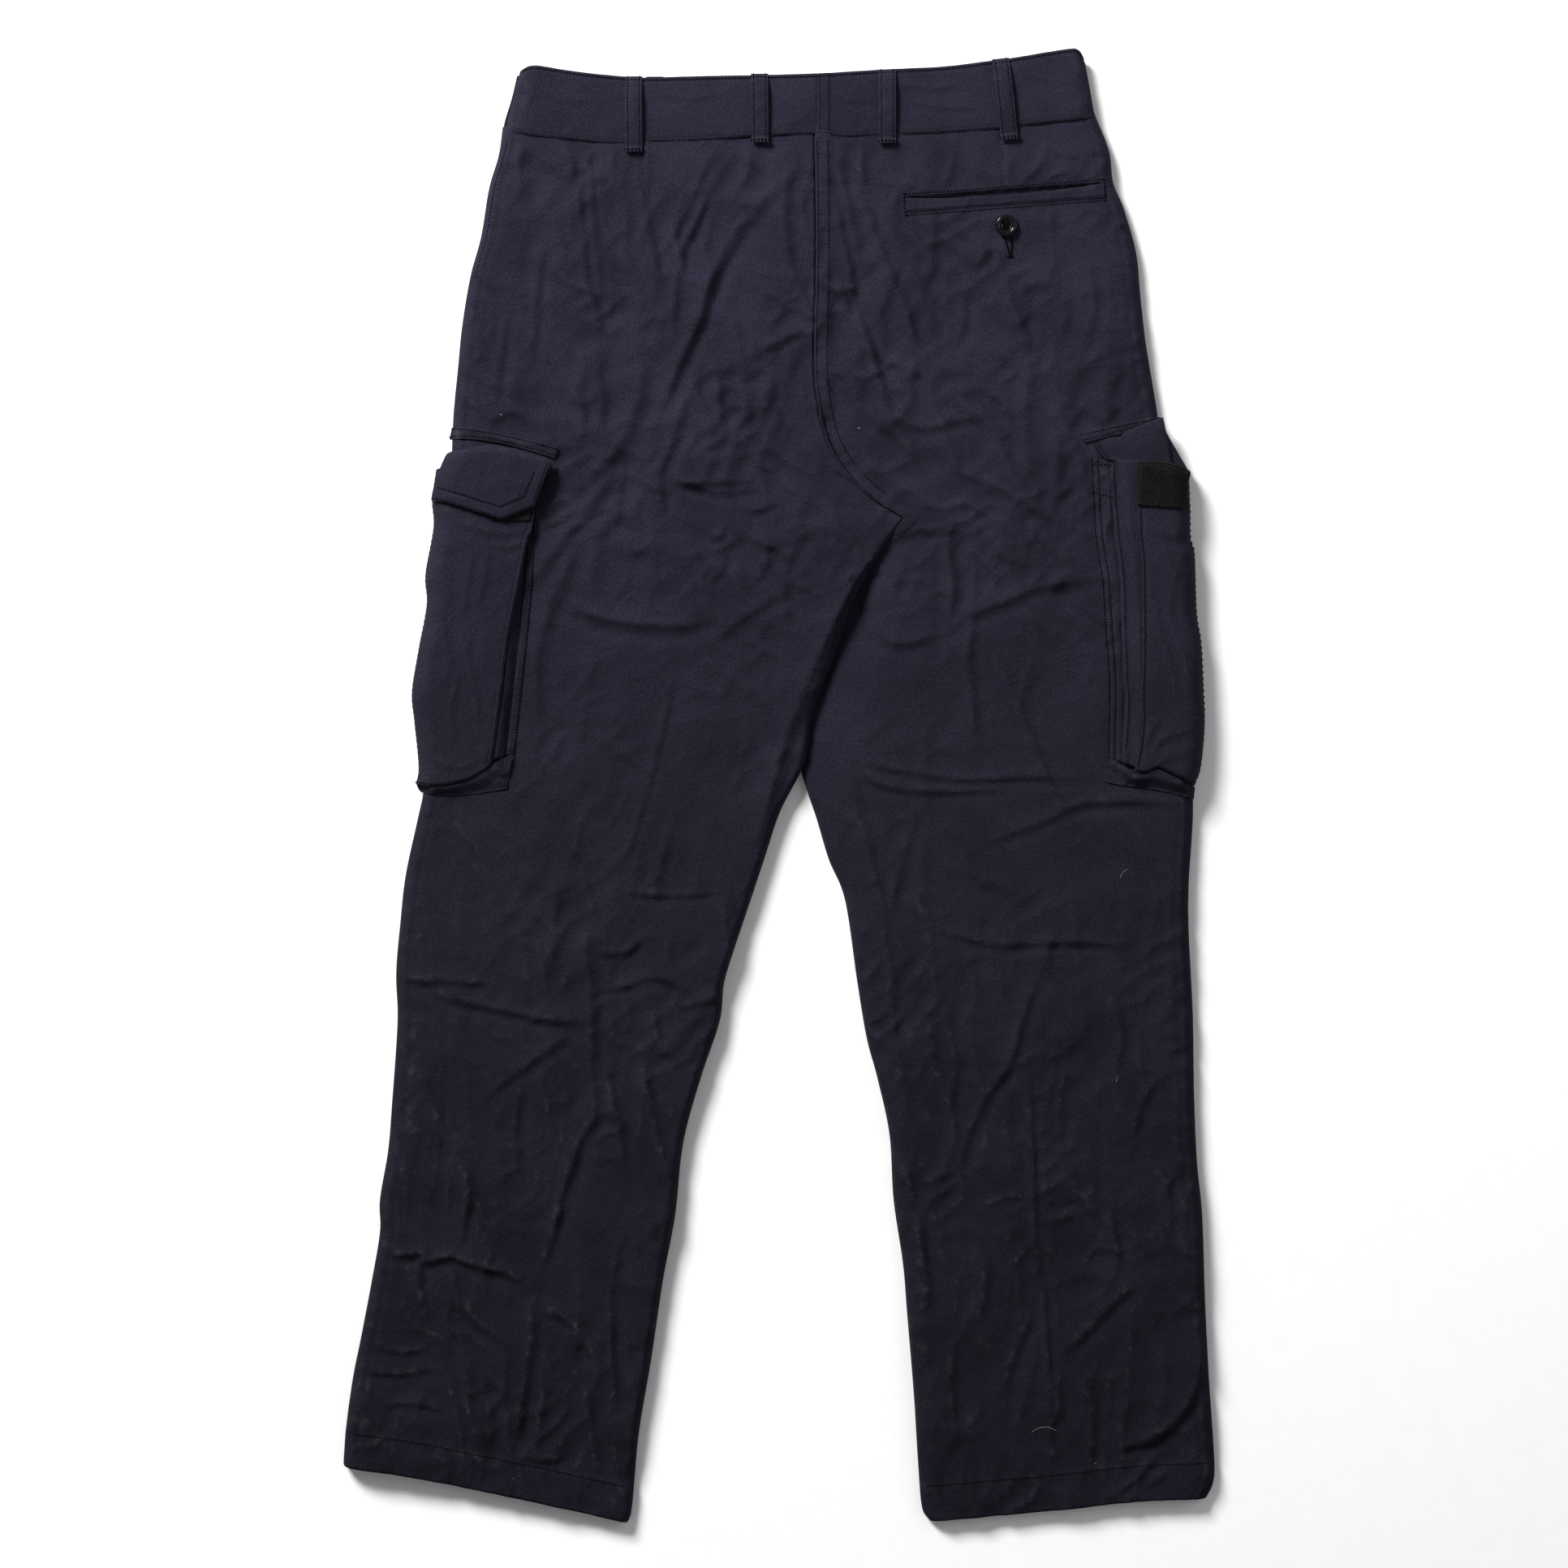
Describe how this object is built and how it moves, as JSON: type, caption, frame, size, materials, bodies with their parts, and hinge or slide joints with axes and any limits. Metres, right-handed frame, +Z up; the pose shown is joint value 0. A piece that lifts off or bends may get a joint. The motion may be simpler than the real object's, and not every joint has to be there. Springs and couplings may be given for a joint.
{
  "type": "cargo trousers",
  "caption": "Navy cotton work trousers with belt loops, a buttoned back pocket and bellows cargo pockets, laid flat with the back up.",
  "frame": {"origin": "centre of the bounding box, on the surface that the trousers lie on", "axes": "+Y along the garment, towards the waist; +X across it, towards the wearer's right; +Z up, out of the back of the trousers"},
  "size_m": [0.6434, 1.0818, 0.027],
  "materials": {
    "twill": "matte navy cotton twill, washed and slightly faded",
    "twill_folded": "matte navy cotton twill, folded and topstitched, paler along the folds",
    "pocketing": "matte plain-weave pocketing",
    "hook_and_loop": "black nylon pile",
    "thread": "black sewing thread",
    "button_plastic": "polished black",
    "brass": "satin"
  },
  "bodies": {
    "garment": {"back_panel_left": "twill", "thigh_back_left": "twill", "back_panel_right": "twill", "front_panel_left": "twill", "front_panel_right": "twill", "waistband_back_left": "twill_folded", "waistband_front_left": "twill_folded", "waistband_back_right": "twill_folded", "waistband_front_right": "twill_folded", "belt_loop_back_1": "twill_folded", "belt_loop_back_2": "twill_folded", "belt_loop_back_3": "twill_folded", "belt_loop_back_4": "twill_folded", "belt_loop_front_left": "twill_folded", "belt_loop_front_right": "twill_folded", "back_pocket_welt": "twill_folded", "back_pocket_bag": "pocketing", "back_pocket_facing": "twill", "back_pocket_button_shank": "thread", "back_pocket_button": "button_plastic", "left_pocket_face": "twill_folded", "left_pocket_pinned_half": "twill_folded", "left_pocket_gusset": "twill", "left_pocket_base_gusset": "twill", "left_pocket_top_band": "twill_folded", "left_pocket_loop_strip": "hook_and_loop", "right_pocket_pinned_half": "twill_folded", "right_pocket_gusset": "twill", "right_pocket_base_gusset": "twill", "right_pocket_top_band": "twill_folded", "zip_chain": "brass", "zip_tape_left": "pocketing", "zip_tape_right": "pocketing", "fly_shield": "twill", "waist_button": "button_plastic", "hand_pocket_bag_left": "pocketing", "hand_pocket_bag_right": "pocketing"},
    "left_shin": {"shin_back_left": "twill", "shin_front_left": "twill"},
    "right_shin": {"shin_back_right": "twill", "shin_front_right": "twill"},
    "left_flap": {"left_pocket_flap": "twill_folded", "left_pocket_hook_strip": "hook_and_loop"},
    "right_flap": {"right_pocket_flap": "twill_folded", "right_pocket_hook_strip": "hook_and_loop"},
    "right_pocket_front": {"right_pocket_face": "twill_folded", "right_pocket_loop_strip": "hook_and_loop"},
    "zip_runner": {"zip_slider": "brass", "zip_pull": "brass"}
  },
  "joints": [
    {"name": "left_knee_fold", "type": "hinge", "parent": "garment", "child": "left_shin", "pos_m": [-0.16152, -0.13911, 0.017], "axis": [-0.9905, 0.1374, 0], "range_deg": [0, 165]},
    {"name": "right_knee_fold", "type": "hinge", "parent": "garment", "child": "right_shin", "pos_m": [0.18141, -0.13911, 0.017], "axis": [-0.9963, -0.0854, 0], "range_deg": [0, 165]},
    {"name": "left_flap_lift", "type": "hinge", "parent": "garment", "child": "left_flap", "pos_m": [-0.21195, 0.24995, 0.0273], "axis": [-0.9955, 0.0943, 0], "range_deg": [0, 150]},
    {"name": "right_flap_tilt", "type": "hinge", "parent": "garment", "child": "right_flap", "pos_m": [0.26486, 0.2587, 0.017], "axis": [-0.9965, -0.083, 0], "range_deg": [0, 5]},
    {"name": "right_pocket_gape", "type": "hinge", "parent": "garment", "child": "right_pocket_front", "pos_m": [0.27443, 0.02338, 0.0249], "axis": [0.9965, 0.083, 0], "range_deg": [0, 10]},
    {"name": "zip_slide", "type": "slide", "parent": "garment", "child": "zip_runner", "axis": [0, -1, 0], "range_m": [0, 0.13]}
  ]
}
